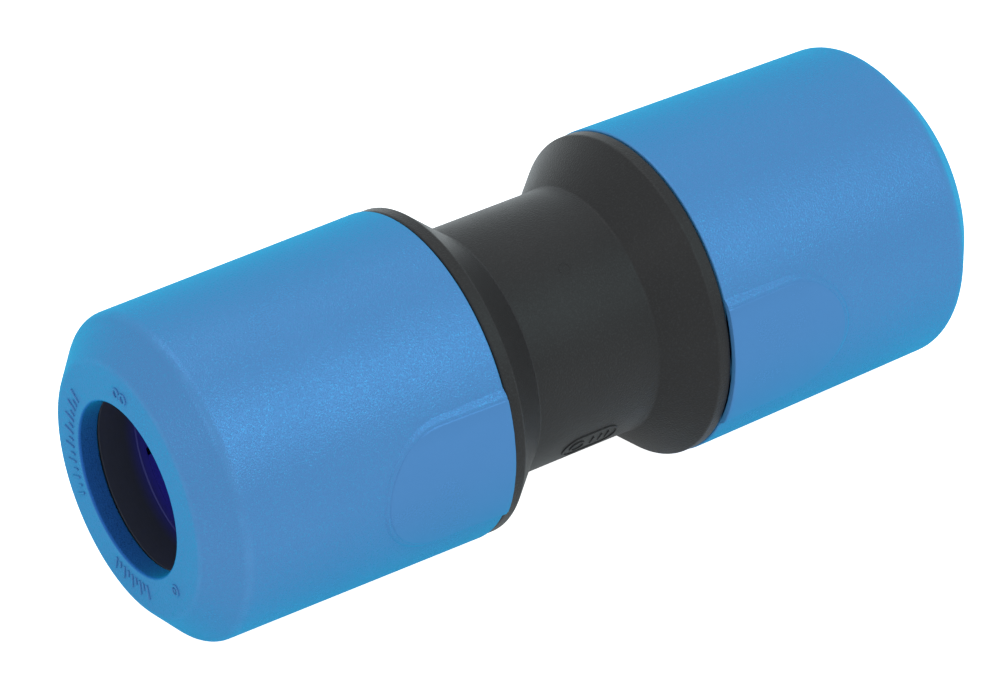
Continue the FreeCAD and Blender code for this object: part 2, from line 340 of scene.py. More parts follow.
# %% Geometry Nodes: turned shell
def make_turned_shell_tree():
    tree, given, leave = new_tree(
        "Turned Shell", "GeometryNodeTree",
        [("Outline", "NodeSocketGeometry", None),
         ("Columns", "NodeSocketInt", 192),
         ("Slot Start", "NodeSocketFloat", 0.0),
         ("Slot End", "NodeSocketFloat", 0.0),
         ("Slot Floor", "NodeSocketFloat", 0.0),
         ("Slot Angle", "NodeSocketFloat", 0.0),
         ("Entry Angle", "NodeSocketFloat", 0.0),
         ("Entry Place", "NodeSocketFloat", 0.0),
         ("Fitted", "NodeSocketObject", None),
         ("Finish", "NodeSocketMaterial", None)],
        [("Shell", "NodeSocketGeometry")])
    rows = add(tree, "GeometryNodeAttributeDomainSize", given["Outline"]).outputs["Point Count"]
    columns = calc(tree, "ADD", given["Columns"], 1.0)
    grid = add(tree, "GeometryNodeMeshGrid", 1.0, 1.0, rows, columns).outputs["Mesh"]
    position = add(tree, "GeometryNodeInputPosition").outputs[0]
    flat = add(tree, "ShaderNodeSeparateXYZ", position).outputs

    # A grid one unit wide is centred on zero, so half is added before counting rows and turning.
    last_row = calc(tree, "SUBTRACT", rows, 1.0)
    across = calc(tree, "ADD", flat["X"], 0.5)
    row = calc(tree, "ROUND", calc(tree, "MULTIPLY", across, last_row))
    turn = calc(tree, "MULTIPLY", calc(tree, "ADD", flat["Y"], 0.5), 2 * math.pi)
    read = dict(domain="POINT")
    here = add(tree, "GeometryNodeSampleIndex", given["Outline"], position, row,
               data_type="FLOAT_VECTOR", **read).outputs[0]
    edge = add(tree, "GeometryNodeInputNamedAttribute", "edge", data_type="FLOAT").outputs[0]
    edge_here = add(tree, "GeometryNodeSampleIndex", given["Outline"], edge, row,
                    data_type="FLOAT", **read).outputs[0]
    profile = add(tree, "ShaderNodeSeparateXYZ", here).outputs
    along = profile["X"]
    out = profile["Z"]

    # Slots and entries come in pairs half a turn apart, which the cosine of twice the angle repeats.
    def inside_angle(place, width):
        doubled = calc(tree, "MULTIPLY", calc(tree, "SUBTRACT", turn, place), 2.0)
        return calc(tree, "GREATER_THAN", calc(tree, "COSINE", doubled), calc(tree, "COSINE", width))

    before_end = calc(tree, "LESS_THAN", along, given["Slot End"])
    after_start = calc(tree, "GREATER_THAN", along, given["Slot Start"])
    below_floor = calc(tree, "LESS_THAN", out, given["Slot Floor"])
    in_slot = calc(tree, "MULTIPLY", inside_angle(0.0, given["Slot Angle"]), after_start)
    in_entry = inside_angle(given["Entry Place"], given["Entry Angle"])
    cut = calc(tree, "MAXIMUM", in_slot, in_entry)
    cut = calc(tree, "MULTIPLY", calc(tree, "MULTIPLY", cut, before_end), below_floor)
    deeper = calc(tree, "MULTIPLY", cut, calc(tree, "SUBTRACT", given["Slot Floor"], out))
    radius = calc(tree, "ADD", out, deeper)

    y = calc(tree, "MULTIPLY", calc(tree, "MULTIPLY", radius, -1.0), calc(tree, "COSINE", turn))
    z = calc(tree, "MULTIPLY", radius, calc(tree, "SINE", turn))
    bent = add(tree, "ShaderNodeCombineXYZ", along, y, z).outputs[0]
    stored = add(tree, "GeometryNodeStoreNamedAttribute", grid, None, "edge", edge_here,
                 data_type="FLOAT", domain="POINT").outputs[0]
    shell = add(tree, "GeometryNodeSetPosition", stored, None, bent).outputs[0]
    closed = add(tree, "GeometryNodeMergeByDistance", shell).outputs[0]
    closed.node.inputs["Distance"].default_value = 0.002 * MM
    fitted = add(tree, "GeometryNodeObjectInfo", given["Fitted"]).outputs["Geometry"]
    both = add(tree, "GeometryNodeJoinGeometry")
    tree.links.new(fitted, both.inputs[0])
    tree.links.new(closed, both.inputs[0])
    smooth = add(tree, "GeometryNodeSetShadeSmooth", both.outputs[0]).outputs[0]
    real = add(tree, "GeometryNodeRealizeInstances", smooth).outputs[0]
    finished = add(tree, "GeometryNodeSetMaterial", real, None, given["Finish"]).outputs[0]
    tree.links.new(finished, leave.inputs[0])
    return tree


turned_shell = make_turned_shell_tree()
print("turned shell:", len(turned_shell.nodes), "nodes")

# %% [markdown]
# ## Repeating round the axis, and along an arc
#
# The collet is one finger repeated eight times, and the marks on an end face are one dash repeated along an
# arc. Both are the same rule: instances of the modifier's own mesh, turned about X by evenly spaced angles.
# The instances are made real at the end, because only real faces leave Blender with the part.

# %% Geometry Nodes: repeat round the axis
def make_repeat_tree():
    tree, given, leave = new_tree(
        "Repeat Round", "GeometryNodeTree",
        [("Piece", "NodeSocketGeometry", None),
         ("Count", "NodeSocketInt", 8),
         ("First Angle", "NodeSocketFloat", 0.0),
         ("Step Angle", "NodeSocketFloat", 0.0),
         ("Fitted", "NodeSocketObject", None),
         ("Finish", "NodeSocketMaterial", None)],
        [("Ring", "NodeSocketGeometry")])
    points = add(tree, "GeometryNodeMeshLine", given["Count"]).outputs[0]
    points.node.inputs["Offset"].default_value = (0, 0, 0)
    number = add(tree, "GeometryNodeInputIndex").outputs[0]
    turn = calc(tree, "ADD", given["First Angle"], calc(tree, "MULTIPLY", number, given["Step Angle"]))
    rotation = add(tree, "ShaderNodeCombineXYZ", turn, 0.0, 0.0).outputs[0]
    copies = add(tree, "GeometryNodeInstanceOnPoints", points, None, given["Piece"]).outputs[0]
    tree.links.new(rotation, copies.node.inputs["Rotation"])
    fitted = add(tree, "GeometryNodeObjectInfo", given["Fitted"]).outputs["Geometry"]
    both = add(tree, "GeometryNodeJoinGeometry")
    tree.links.new(fitted, both.inputs[0])
    tree.links.new(copies, both.inputs[0])
    real = add(tree, "GeometryNodeRealizeInstances", both.outputs[0]).outputs[0]
    smooth = add(tree, "GeometryNodeSetShadeSmooth", real).outputs[0]
    finished = add(tree, "GeometryNodeSetMaterial", smooth, None, given["Finish"]).outputs[0]
    tree.links.new(finished, leave.inputs[0])
    return tree


repeat_round = make_repeat_tree()
print("repeat round:", len(repeat_round.nodes), "nodes")

# %% [markdown]
# ## Finishes that more than one material shares
#
# The steel tools for both the caps and the body were spark-eroded, which leaves thousands of tiny craters,
# and the plastic copies them as a soft, sparkling grain. A shader node group makes that grain once: two
# sizes of noise for the bump, and a slow drift for the gloss, because the grain is never worn evenly. A
# second group rubs the outward edges a little lighter and smoother, and lets the inward corners keep a trace
# of dust.

# %% Shader groups: moulded grain, rubbed edges
DRIFT_SCALE = 90.0
PATCH_SCALE = 260.0


def make_grain_group():
    tree, given, leave = new_tree(
        "Moulded Grain", "ShaderNodeTree",
        [("Place", "NodeSocketVector", None),
         ("Grain Size", "NodeSocketFloat", 0.2),
         ("Polish", "NodeSocketFloat", 0.0),
         ("Gloss Low", "NodeSocketFloat", 0.4),
         ("Gloss High", "NodeSocketFloat", 0.5)],
        [("Height", "NodeSocketFloat"), ("Roughness", "NodeSocketFloat"), ("Fleck", "NodeSocketFloat"),
         ("Drift", "NodeSocketFloat")])
    per_metre = calc(tree, "DIVIDE", 1.0, calc(tree, "MULTIPLY", given["Grain Size"], MM))
    craters = add(tree, "ShaderNodeTexNoise", given["Place"], per_metre, 2.0, 0.6, 2.0).outputs["Fac"]
    pits = add(tree, "ShaderNodeTexVoronoi", given["Place"], per_metre).outputs["Distance"]
    height = calc(tree, "ADD", calc(tree, "MULTIPLY", craters, 0.7), calc(tree, "MULTIPLY", pits, 0.3))
    rough_part = calc(tree, "SUBTRACT", 1.0, given["Polish"])
    shown = calc(tree, "MULTIPLY", height, rough_part)
    drift = add(tree, "ShaderNodeTexNoise", given["Place"], DRIFT_SCALE, 3.0, 0.55, 2.0).outputs["Fac"]
    broken = calc(tree, "ADD", calc(tree, "MULTIPLY", drift, 0.7), calc(tree, "MULTIPLY", craters, 0.3))
    roughness = add(tree, "ShaderNodeMapRange", broken, 0.3, 0.7, given["Gloss Low"], given["Gloss High"])
    fleck_and_painted_glint = add(tree, "ShaderNodeMapRange", craters, 0.5, 0.75, 0.0, 1.0).outputs[0]
    tree.links.new(shown, leave.inputs["Height"])
    tree.links.new(roughness.outputs[0], leave.inputs["Roughness"])
    tree.links.new(calc(tree, "MULTIPLY", fleck_and_painted_glint, rough_part), leave.inputs["Fleck"])
    tree.links.new(drift, leave.inputs["Drift"])
    return tree


def make_edge_group():
    tree, given, leave = new_tree(
        "Rubbed Edges", "ShaderNodeTree",
        [("Place", "NodeSocketVector", None),
         ("Edge", "NodeSocketFloat", 0.0)],
        [("Rubbed", "NodeSocketFloat"), ("Dusty", "NodeSocketFloat")])
    patches = add(tree, "ShaderNodeTexNoise", given["Place"], PATCH_SCALE, 4.0, 0.6, 2.0).outputs["Fac"]
    patchy = add(tree, "ShaderNodeMapRange", patches, 0.4, 0.65, 0.25, 1.0).outputs[0]
    outward = calc(tree, "MAXIMUM", given["Edge"], 0.0)
    inward = calc(tree, "MAXIMUM", calc(tree, "MULTIPLY", given["Edge"], -1.0), 0.0)
    tree.links.new(calc(tree, "MULTIPLY", outward, patchy), leave.inputs["Rubbed"])
    tree.links.new(calc(tree, "MULTIPLY", inward, patchy), leave.inputs["Dusty"])
    return tree


moulded_grain = make_grain_group()
rubbed_edges = make_edge_group()
print("shader groups:", moulded_grain.name, "and", rubbed_edges.name)

# %% [markdown]
# ## The plastics
#
# Both plastics are polypropylene with pigment all the way through: blue for water, carbon black for the
# body. So the colour hardly varies, and what the eye reads is the skin: a satin shine broken up by the
# grain. The thumb pads were polished in the mould, and their attribute `polish` switches the grain off
# there.
#
# A plain white shine would bleach the blue wherever light glances off it, and this pigment stays blue there.
# So the blue has no plain shine at all. A small metallic share reflects in the pigment's own colour, more so
# where the grain catches the light, and a cyan sheen lifts the edges that turn away from us.
#
# The mouth's bore is painted a deeper blue than the outside, as painted shade. Further in, behind the
# mouth's lip, hardly any light is left, and the cap is painted near-black there as painted shade. Both zones
# follow from the distance to the axis. Values that are the same all over are set on the shader itself, and
# only what varies is joined to it.

# %% Materials: blue caps and black body
PAINTED_GLINT_SHARE = 0.6
RUBBED_SHARE = 0.35
DUSTY_SHARE = 0.15
RUBBED_GLOSS = 0.08
GLINT = 0.45
PLASTIC_IOR = 1.49
# painted shade: a deeper blue for the mouth's bore, and near-black for the cap's inside behind the mouth's
# lip
BORE_SHADE_BLUE = (0.022, 0.115, 0.400, 1)
HIDDEN_SHADE_BLUE = (0.003, 0.020, 0.070, 1)
# Each holds a base colour, the colour it drifts to, rubbed edges, and a lighter painted glint for the grain's
# flecks.
BLUES = ((0.089, 0.228, 0.484, 1), (0.081, 0.216, 0.466, 1), (0.110, 0.300, 0.590, 1),
         (0.060, 0.330, 0.600, 1))
BLACKS = ((0.0245, 0.0222, 0.0224, 1), (0.0208, 0.0188, 0.0190, 1), (0.040, 0.040, 0.041, 1),
          (0.038, 0.037, 0.037, 1))


def placed_group(tree, group, **inputs):
    made = add(tree, "ShaderNodeGroup", node_tree=group)
    for label, value in inputs.items():
        socket = made.inputs[label.replace("_", " ").title()]
        if isinstance(value, bpy.types.NodeSocket):
            tree.links.new(value, socket)
        else:
            socket.default_value = value
    return made.outputs


def new_material(name):
    material = bpy.data.materials.new(name)
    material.use_nodes = True
    tree = material.node_tree
    shader = tree.nodes["Principled BSDF"]
    place = add(tree, "ShaderNodeTexCoord").outputs["Object"]
    return material, tree, shader, place


def mixed(tree, share, first, second):
    """A colour between two others, each a plain colour or a socket."""
    made = add(tree, "ShaderNodeMix", data_type="RGBA")
    for socket, value in zip((made.inputs["Factor"], made.inputs[6], made.inputs[7]), (share, first, second)):
        if isinstance(value, bpy.types.NodeSocket):
            tree.links.new(value, socket)
        else:
            socket.default_value = value
    return made.outputs[2]


def attribute(tree, name):
    return add(tree, "ShaderNodeAttribute", attribute_name=name).outputs["Fac"]


def bumped(tree, shader, height, depth):
    """Joins a height to the shader's normal. The depth is the real one, in millimetres."""
    bump = add(tree, "ShaderNodeBump", 1.0, depth * MM)
    tree.links.new(height, bump.inputs["Height"])
    tree.links.new(bump.outputs["Normal"], shader.inputs["Normal"])


def inside_of(tree, place, radius, blend=0.15):
    """1 nearer to the pipe's axis than a radius in millimetres, and 0 beyond it."""
    split = add(tree, "ShaderNodeSeparateXYZ", place).outputs
    square = calc(tree, "ADD", calc(tree, "MULTIPLY", split["Y"], split["Y"]),
                  calc(tree, "MULTIPLY", split["Z"], split["Z"]))
    out = calc(tree, "SQRT", square)
    near = (radius - blend) * MM
    far = (radius + blend) * MM
    return add(tree, "ShaderNodeMapRange", out, near, far, 1.0, 0.0).outputs[0]


def moulded_plastic(name, colours, gloss, grain_size, grain_depth, pearl=0.0, shade_zones=None):
    """Grained plastic. Colours: two that it drifts between, its rubbed edges, and a painted glint for the
    flecks of its grain.
    """
    colour, deeper, rubbed, fleck_and_painted_glint = colours
    material, tree, shader, place = new_material(name)
    grain = placed_group(tree, moulded_grain, place=place, grain_size=grain_size,
                         polish=attribute(tree, "polish"), gloss_low=gloss[0], gloss_high=gloss[1])
    edges = placed_group(tree, rubbed_edges, place=place, edge=attribute(tree, "edge"))
    skin = mixed(tree, grain["Drift"], colour, deeper)
    # painted glint: the grain's flecks are coloured lighter, lit or not
    skin = mixed(tree, calc(tree, "MULTIPLY", grain["Fleck"], PAINTED_GLINT_SHARE), skin, fleck_and_painted_glint)
    skin = mixed(tree, calc(tree, "MULTIPLY", edges["Rubbed"], RUBBED_SHARE), skin, rubbed)
    skin = mixed(tree, calc(tree, "MULTIPLY", edges["Dusty"], DUSTY_SHARE), skin, rubbed)
    # painted shade zones, where the material has any
    if shade_zones:
        skin = shade_zones(tree, place, skin)
    tree.links.new(skin, shader.inputs["Base Color"])
    smoother = calc(tree, "MULTIPLY", edges["Rubbed"], RUBBED_GLOSS)
    tree.links.new(calc(tree, "SUBTRACT", grain["Roughness"], smoother), shader.inputs["Roughness"])
    if pearl:
        glints = calc(tree, "ADD", calc(tree, "MULTIPLY", grain["Fleck"], GLINT), pearl)
        tree.links.new(glints, shader.inputs["Metallic"])
    shader.inputs["IOR"].default_value = PLASTIC_IOR
    bumped(tree, shader, grain["Height"], grain_depth)
    return material, shader


def cap_painted_shade(tree, place, skin):
    """Paints shade into a cap's colour: a deeper blue in the bore of its mouth, and near-black further
    inside.
    """
    # painted shade: a deeper blue in the mouth's bore
    skin = mixed(tree, inside_of(tree, place, mouth_radius + 0.25), skin, BORE_SHADE_BLUE)
    # painted shade: near-black on the inside surfaces deeper than the mouth's lip
    depth = calc(tree, "ABSOLUTE", add(tree, "ShaderNodeSeparateXYZ", place).outputs["X"])
    shaded_inside = calc(tree, "LESS_THAN", depth, (mouth_start + 0.04) * MM)
    shaded_inside = calc(tree, "MULTIPLY", shaded_inside, inside_of(tree, place, bore_radius + 0.3))
    return mixed(tree, shaded_inside, skin, HIDDEN_SHADE_BLUE)


blue_plastic, blue_shader = moulded_plastic(
    "blue_polypropylene", BLUES, (0.20, 0.30), grain_size=0.25, grain_depth=0.085, pearl=0.22,
    shade_zones=cap_painted_shade)
blue_shader.inputs["Specular Tint"].default_value = (0.0, 0.9, 1.0, 1)
blue_shader.inputs["Specular IOR Level"].default_value = 0.0
blue_shader.inputs["Sheen Weight"].default_value = 0.52
blue_shader.inputs["Sheen Roughness"].default_value = 0.45
blue_shader.inputs["Sheen Tint"].default_value = (0.0, 0.65, 1.0, 1)

black_plastic, black_shader = moulded_plastic(
    "black_polypropylene", BLACKS, (0.30, 0.40), grain_size=0.27, grain_depth=0.080)
black_shader.inputs["Specular Tint"].default_value = (1.0, 0.95, 0.93, 1)
black_shader.inputs["Specular IOR Level"].default_value = 0.20
print("plastics:", blue_plastic.name, black_plastic.name)

# %% [markdown]
# ## Collet, teeth, seal and spacer
#
# The collet is a harder, glossier plastic (an acetal) in deep indigo, with faint flow lines round it from
# the gate. Its outer ring, at the mouth end, is a little duller and is painted near-black as painted shade;
# the colour clears towards the fingers. The teeth are stamped from stainless strip, so they have fine
# straight lines from the rolling mill. The O-ring is black rubber under a film of silicone grease, which
# gives it an uneven wet shine. The spacer is natural acetal: a warm white that varies a little with the
# thickness of the wall.

# %% Materials: collet, teeth, seal and spacer
# painted shade: the collet's outer ring at the mouth end is coloured near-black, clearing towards the fingers
INDIGO_END = 54.5
SHADED_RING_START = 59.2


def stretched(tree, place, scale):
    """The place, stretched along one direction so that a noise turns into lines."""
    return add(tree, "ShaderNodeVectorMath", place, scale, operation="MULTIPLY").outputs[0]


def make_collet_plastic():
    material, tree, shader, place = new_material("indigo_acetal")
    flow = add(tree, "ShaderNodeTexNoise", stretched(tree, place, (6.0, 1.0, 1.0)), 420.0, 3.0, 0.5, 1.4)
    along = add(tree, "ShaderNodeSeparateXYZ", place).outputs["X"]
    depth = calc(tree, "ABSOLUTE", along)
    shaded_ring = add(tree, "ShaderNodeMapRange", depth, INDIGO_END * MM, SHADED_RING_START * MM, 0.0, 1.0,
                interpolation_type="SMOOTHSTEP").outputs[0]
    indigo = mixed(tree, flow.outputs["Fac"], (0.034, 0.030, 0.400, 1), (0.046, 0.038, 0.520, 1))
    # painted shade: near-black on the outer ring
    tree.links.new(mixed(tree, shaded_ring, indigo, (0.034, 0.036, 0.055, 1)), shader.inputs["Base Color"])
    gloss = add(tree, "ShaderNodeMapRange", flow.outputs["Fac"], 0.3, 0.7, 0.16, 0.26).outputs[0]
    duller = calc(tree, "MULTIPLY", shaded_ring, 0.3)
    tree.links.new(calc(tree, "ADD", gloss, duller), shader.inputs["Roughness"])
    shader.inputs["Specular IOR Level"].default_value = 0.3
    bumped(tree, shader, flow.outputs["Fac"], 0.01)
    return material


def make_tooth_steel():
    material, tree, shader, place = new_material("stainless_strip")
    lines = add(tree, "ShaderNodeTexNoise", stretched(tree, place, (14.0, 1.0, 1.0)), 2600.0, 3.0, 0.6, 1.0)
    stain = add(tree, "ShaderNodeTexNoise", place, 600.0, 3.0, 0.6, 1.0).outputs["Fac"]
    bright = mixed(tree, lines.outputs["Fac"], (0.22, 0.22, 0.23, 1), (0.36, 0.36, 0.37, 1))
    tree.links.new(mixed(tree, calc(tree, "MULTIPLY", stain, 0.3), bright, (0.20, 0.18, 0.16, 1)),
                   shader.inputs["Base Color"])
    shader.inputs["Metallic"].default_value = 1.0
    gloss = add(tree, "ShaderNodeMapRange", lines.outputs["Fac"], 0.3, 0.7, 0.34, 0.52).outputs[0]
    tree.links.new(gloss, shader.inputs["Roughness"])
    bumped(tree, shader, lines.outputs["Fac"], 0.006)
    return material


def make_seal_rubber():
    material, tree, shader, place = new_material("greased_rubber")
    grease = add(tree, "ShaderNodeTexNoise", place, 320.0, 4.0, 0.6, 1.5).outputs["Fac"]
    skin = add(tree, "ShaderNodeTexNoise", place, 3400.0, 2.0, 0.6, 1.0).outputs["Fac"]
    tree.links.new(mixed(tree, grease, (0.010, 0.010, 0.011, 1), (0.022, 0.022, 0.023, 1)),
                   shader.inputs["Base Color"])
    wet = add(tree, "ShaderNodeMapRange", grease, 0.4, 0.6, 0.22, 0.58).outputs[0]
    tree.links.new(wet, shader.inputs["Roughness"])
    bumped(tree, shader, skin, 0.008)
    return material


def make_spacer_plastic():
    material, tree, shader, place = new_material("natural_acetal")
    cloud = add(tree, "ShaderNodeTexNoise", place, 180.0, 4.0, 0.6, 1.8).outputs["Fac"]
    skin = add(tree, "ShaderNodeTexNoise", place, 2800.0, 2.0, 0.6, 1.0).outputs["Fac"]
    tree.links.new(mixed(tree, cloud, (0.60, 0.59, 0.55, 1), (0.70, 0.69, 0.66, 1)),
                   shader.inputs["Base Color"])
    gloss = add(tree, "ShaderNodeMapRange", cloud, 0.35, 0.65, 0.30, 0.42).outputs[0]
    tree.links.new(gloss, shader.inputs["Roughness"])
    bumped(tree, shader, skin, 0.006)
    return material


collet_plastic = make_collet_plastic()
tooth_steel = make_tooth_steel()
seal_rubber = make_seal_rubber()
spacer_plastic = make_spacer_plastic()
print("materials:", len(bpy.data.materials))

# %% [markdown]
# ## Skins through sections
#
# Pads, lugs, fingers and moulded marks aren't turned all the way round. Each is a row of equal sections,
# like the ribs of a boat, with quads between neighbours and a face over each end. `skinned` lays that skin,
# merges the points that meet, and only then lets Blender work out which way is out.

# %% Helper: a skin through sections
def skinned(name, sections, loop=True, ends=True, polish=None):
    """A closed skin through equal sections of points, in millimetres. Polish is one number for each point."""
    skin = bmesh.new()
    shine = skin.verts.layers.float.new("polish")
    rings = []
    for section in sections:
        ring = [skin.verts.new([value * MM for value in point]) for point in section]
        for place, vertex in enumerate(ring):
            vertex[shine] = polish[place] if polish else 0.0
        rings.append(ring)
    count = len(rings[0])
    for ring, following in zip(rings, rings[1:]):
        for place in range(count if loop else count - 1):
            after = (place + 1) % count
            skin.faces.new((ring[place], ring[after], following[after], following[place]))
    if ends:
        skin.faces.new(rings[0])
        skin.faces.new(rings[-1])
    bmesh.ops.remove_doubles(skin, verts=skin.verts, dist=0.001 * MM)
    bmesh.ops.dissolve_degenerate(skin, edges=skin.edges, dist=0.0005 * MM)
    bmesh.ops.recalc_face_normals(skin, faces=skin.faces)
    for face in skin.faces:
        face.smooth = True
    mesh = bpy.data.meshes.new(name)
    skin.to_mesh(mesh)
    skin.free()
    return new_piece(name, mesh)


def softened(piece, width):
    """Rounds the piece's hard edges with a Bevel modifier, and keeps the result."""
    bevel = piece.modifiers.new("Softened", "BEVEL")
    bevel.width = width * MM
    bevel.segments = 2
    bevel.limit_method = "ANGLE"
    bevel.angle_limit = math.radians(60.0)
    bevel.harden_normals = False
    return settle(piece)


def joined(name, pieces):
    """Several settled pieces as one."""
    whole = bmesh.new()
    for piece in pieces:
        whole.from_mesh(piece.data)
    mesh = bpy.data.meshes.new(name)
    whole.to_mesh(mesh)
    whole.free()
    if pieces[0].data.materials:
        mesh.materials.append(pieces[0].data.materials[0])
    for piece in pieces:
        bpy.data.objects.remove(piece)
    return new_piece(name, mesh)


# %% [markdown]
# ## Thumb pads
#
# Each cap has two D-shaped pads, one for the thumb and one for the finger that turn it. A pad is two plates
# on top of each other. The lower one rises out of the cap with a grained slope, high at the rim and low at
# the round end. The upper one is only a step higher and polished smooth. Both end flush with the rim, in a
# small cliff.
#
# A grid laid over a D would cross its outline at all angles and leave a ragged edge. So the sections follow
# the D instead: each runs from the pad's middle line out to the border, down the side and back underneath.

# %% Thumb pads
PAD_CENTRE = 29.6
PAD_BORDER = 10.8
PAD_INNER = 9.75
PAD_SLOPE = 0.85
PAD_END = PAD_CENTRE + PAD_BORDER
PAD_SINK = -0.35
PAD_SETBACK = 0.02
RISE_AT_RIM = 0.50
RISE_AT_END = 0.20
STEP_RISE = 0.12
SLOPE_FOOT = 0.42
SLOPE_STEPS = 10
CAP_TAPER = (rim_radius - shoulder_radius) / (shoulder_start - rim_start)


def cap_surface(along):
    """The cap's own radius at a place along it."""
    return rim_radius - CAP_TAPER * (along - rim_start)


def pad_rise(along):
    """How far the grained slope stands out from the cap at a place along it."""
    share = (along - rim_start) / (PAD_END - rim_start)
    return RISE_AT_RIM + (RISE_AT_END - RISE_AT_RIM) * share


def stations(start, straight_steps=14, round_steps=44):
    """Places round a D: (along, share along, share up) of the way out from its middle line to its border."""
    straight = [start + (PAD_CENTRE - start) * step / straight_steps for step in range(straight_steps)]
    turns = [math.pi / 2 - math.pi * step / round_steps for step in range(round_steps + 1)]
    upper = [(along, 0.0, 1.0) for along in straight]
    nose = [(PAD_CENTRE, math.cos(turn), math.sin(turn)) for turn in turns]
    lower = [(along, 0.0, -1.0) for along in reversed(straight)]
    return upper + nose + lower


def plate(name, start, border, top, levels, polish):
    """A closed D-shaped plate on the side of the cap that faces -Y. `top` says how far it stands out."""
    sections = []
    for along, share_along, share_up in stations(start):
        section = []
        for inside, share in levels:
            width = border - inside
            at = along + width * share_along
            up = width * share_up
            under = cap_surface(at) + PAD_SINK
            radius = under + (cap_surface(at) + top(at) - under) * share
            section.append((at, -math.sqrt(radius ** 2 - up ** 2), up))
        sections.append(section)
    return skinned(name, sections, loop=False, polish=[polish] * len(levels))


def smooth_share(share):
    return share * share * (3 - 2 * share)


# Levels are (distance in from the border, share of the height), from the flat top down to the underside.
flat_top = [(inside, 1.0) for inside in (8.0, 5.0, 3.0, 2.0, 1.5)]
slope_levels = [(PAD_BORDER, 1.0)] + flat_top
for step in range(SLOPE_STEPS + 1):
    share = 1 - step / SLOPE_STEPS
    slope_levels.append((PAD_SLOPE * share, smooth_share(share) * (1 - SLOPE_FOOT) + SLOPE_FOOT))
slope_levels += [(0.0, 0.2), (0.0, 0.0), (PAD_BORDER, 0.0)]
step_levels = [(PAD_INNER, 1.0)] + flat_top + [(0.8, 1.0), (0.4, 1.0)]
step_levels += [(0.28, 1.0), (0.23, 0.99), (0.18, 0.95)]
step_levels += [(0.0, 0.76), (0.0, 0.4), (0.0, 0.0), (PAD_INNER, 0.0)]


def step_rise(along):
    return pad_rise(along) + STEP_RISE


def make_pads():
    lower = plate("pad_slope", rim_start + PAD_SETBACK, PAD_BORDER, pad_rise, slope_levels, 0.0)
    upper = plate("pad_step", rim_start, PAD_INNER, step_rise, step_levels, 1.0)
    softened(lower, 0.05)
    softened(upper, 0.07)
    near = joined("near_pad", [lower, upper])
    run_tree(near, repeat_round, count=2, first_angle=0.0, step_angle=math.pi, finish=blue_plastic)
    near.name = "thumb_pads"
    return settle(near)


thumb_pads = make_pads()

# %% [markdown]
# ## Moulded marks
#
# The maker's words and sign are left out. In their place the mould leaves plain marks of the same size:
# dashes and dots round the mouth, a small ring at the lower right, and on the barrel a lozenge outline and
# the round witness of an ejector pin. `moulded_line` raises a rounded line along a flat path, and `laid`
# bends the flat mark on to the surface it belongs to.

# %% Helpers for marks
half_back = [(1.0, -0.6), (1.0, 0.3), (0.85, 0.75), (0.55, 1.0)]
ROUNDED_BACK = half_back + [(-across, up) for across, up in reversed(half_back)]


def moulded_line(name, path, width, height, closed=False):
    """A raised line with a rounded back along a path of flat places, given as complex numbers."""
    count = len(path)
    sections = []
    for place, point in enumerate(path):
        before = path[place - 1] if closed or place else point
        after = path[(place + 1) % count] if closed or place < count - 1 else point
        side = (after - before) / abs(after - before) * 1j
        sections.append((point, side, 1.0))
    if closed:
        sections.append(sections[0])
    else:
        for end, outward in ((0, 1j), (-1, -1j)):
            point, side, _ = sections[end]
            caps = []
            for turn in (30, 60, 85):
                shift = math.sin(math.radians(turn)) * width / 2
                caps.append((point + side * outward * shift, side, math.cos(math.radians(turn))))
            sections = caps[::-1] + sections if end == 0 else sections + caps
    rings = []
    for point, side, share in sections:
        ring = []
        for across, up in ROUNDED_BACK:
            flat = point + side * across * share * width / 2
            ring.append((up * height, flat.real, flat.imag))
        rings.append(ring)
    return skinned(name, rings, ends=not closed)


def laid(piece, rule):
    """Moves each point of a flat mark by a rule from (height, across, up) to its place on the part."""
    for vertex in piece.data.vertices:
        height, across, up = vertex.co / MM
        vertex.co = Vector(rule(height, across, up)) * MM
    if enclosed(piece.data) < 0:
        piece.data.flip_normals()
    return piece


def circle(radius, steps=28):
    return [radius * cmath.exp(2j * math.pi * step / steps) for step in range(steps)]


def lozenge(length, height, steps=14):
    """A long outline with round ends."""
    straight = (length - height) / 2
    turns = [math.pi * (step / steps - 0.5) for step in range(steps + 1)]
    right = [straight + height / 2 * cmath.exp(1j * turn) for turn in turns]
    return right + [-point for point in right]


# %% [markdown]
# ## Marks on the end faces
#
# The marks stand on a circle halfway between the mouth and the edge of the face. A dash is built once,
# pointing away from the axis, and the repeat tree spaces it round the circle.

# %% Marks on an end face
MARK_RADIUS = 15.4
MARK_HEIGHT = 0.24
MARK_WIDTH = 0.36


def face_mark(name, path, turn, closed=False, count=1, step=0.0):
    """A mark on the right-hand end face, at an angle from the -Y side towards +Z, repeated round the axis."""
    mark = moulded_line(name, path, MARK_WIDTH, MARK_HEIGHT, closed)
    laid(mark, lambda height, across, up: (half_length + height, -MARK_RADIUS - up, across))
    run_tree(mark, repeat_round, count=count, first_angle=-math.radians(turn), step_angle=-math.radians(step),
             finish=blue_plastic)
    return settle(mark)


